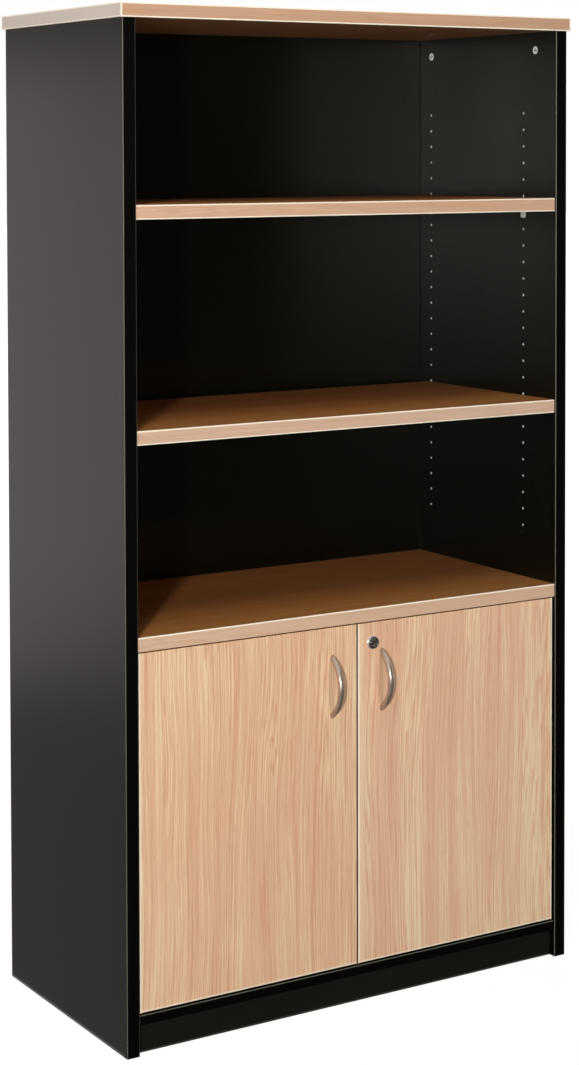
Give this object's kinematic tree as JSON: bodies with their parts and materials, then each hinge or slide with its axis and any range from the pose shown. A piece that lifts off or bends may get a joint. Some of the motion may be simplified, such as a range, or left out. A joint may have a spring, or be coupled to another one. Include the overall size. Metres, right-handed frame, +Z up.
{
  "type": "bookcase with cabinet doors",
  "caption": "Tall free-standing office bookcase with adjustable open shelves above a lockable two-door cupboard, beech boards in a charcoal carcass.",
  "frame": {"origin": "on the floor, at the middle of the whole footprint with the door handles counted in", "axes": "+Z up, the doors face -Y, +X to the right seen from the front"},
  "size_m": [0.965, 0.494, 1.8],
  "materials": {
    "beech_board": "matt melamine with a beech print, streaks along the board",
    "black_board": "fine-textured charcoal melamine",
    "black_edging": "satin ABS edging with rounded arrises",
    "beech_edging": "satin ABS edging with a beech print and rounded arrises",
    "satin_nickel": "satin nickel plate",
    "chrome": "polished chrome",
    "dark_chrome": "dull chrome plug face",
    "nickel": "bright nickel plate",
    "zinc": "bare zinc casting",
    "zinc_plate": "bright zinc plate",
    "dowel_wood": "plain fluted beech"
  },
  "bodies": {
    "carcass": {"back_panel": "black_board", "base_panel": "black_board", "base_panel_edging": "black_edging", "cam_bolts": "zinc_plate", "cam_discs": "zinc", "cupboard_shelf": "beech_board", "cupboard_shelf_edging": "beech_edging", "dowels": "dowel_wood", "fixed_shelf": "beech_board", "fixed_shelf_edging": "beech_edging", "hinge_arm_screws": "zinc_plate", "hinge_pins": "nickel", "hinge_plate_screws": "zinc_plate", "kick_panel": "black_board", "left_hinge_arms": "nickel", "left_hinge_links": "nickel", "left_hinge_plates": "nickel", "left_side_edging": "black_edging", "left_side_panel": "black_board", "lock_strike": "zinc_plate", "lock_strike_screws": "zinc_plate", "middle_shelf": "beech_board", "middle_shelf_edging": "beech_edging", "rear_kick_panel": "black_board", "right_hinge_arms": "nickel", "right_hinge_links": "nickel", "right_hinge_plates": "nickel", "right_side_edging": "black_edging", "right_side_panel": "black_board", "shelf_pins": "nickel", "slide_bolt_keeper": "zinc_plate", "slide_bolt_keeper_screws": "zinc_plate", "top_edging": "beech_edging", "top_panel": "beech_board", "upper_shelf": "beech_board", "upper_shelf_edging": "beech_edging"},
    "left_door": {"left_door": "beech_board", "left_door_edging": "beech_edging", "left_handle": "satin_nickel", "left_handle_screws": "zinc_plate", "left_hinge_cup_screws": "zinc_plate", "left_hinge_cups": "nickel", "slide_bolt_case": "zinc_plate", "slide_bolt_screws": "zinc_plate"},
    "right_door": {"lock_housing": "chrome", "lock_nut": "zinc_plate", "right_door": "beech_board", "right_door_edging": "beech_edging", "right_handle": "satin_nickel", "right_handle_screws": "zinc_plate", "right_hinge_cup_screws": "zinc_plate", "right_hinge_cups": "nickel"},
    "lock_core": {"lock_cam": "zinc_plate", "lock_cam_nut": "zinc_plate", "lock_plug": "dark_chrome"},
    "slide_bolt": {"slide_bolt_rod": "zinc_plate"}
  },
  "joints": [
    {"name": "left_door_hinge", "type": "hinge", "parent": "carcass", "child": "left_door", "pos_m": [-0.4495, -0.213, 0.38325], "axis": [0, 0, -1], "range_deg": [0, 105]},
    {"name": "right_door_hinge", "type": "hinge", "parent": "carcass", "child": "right_door", "pos_m": [0.4495, -0.213, 0.38325], "axis": [0, 0, 1], "range_deg": [0, 105]},
    {"name": "lock_turn", "type": "hinge", "parent": "right_door", "child": "lock_core", "pos_m": [0.033, -0.213, 0.657], "axis": [0, -1, 0], "range_deg": [0, 90]},
    {"name": "bolt_slide", "type": "slide", "parent": "left_door", "child": "slide_bolt", "axis": [0, 0, 1], "range_m": [0, 0.012]}
  ]
}
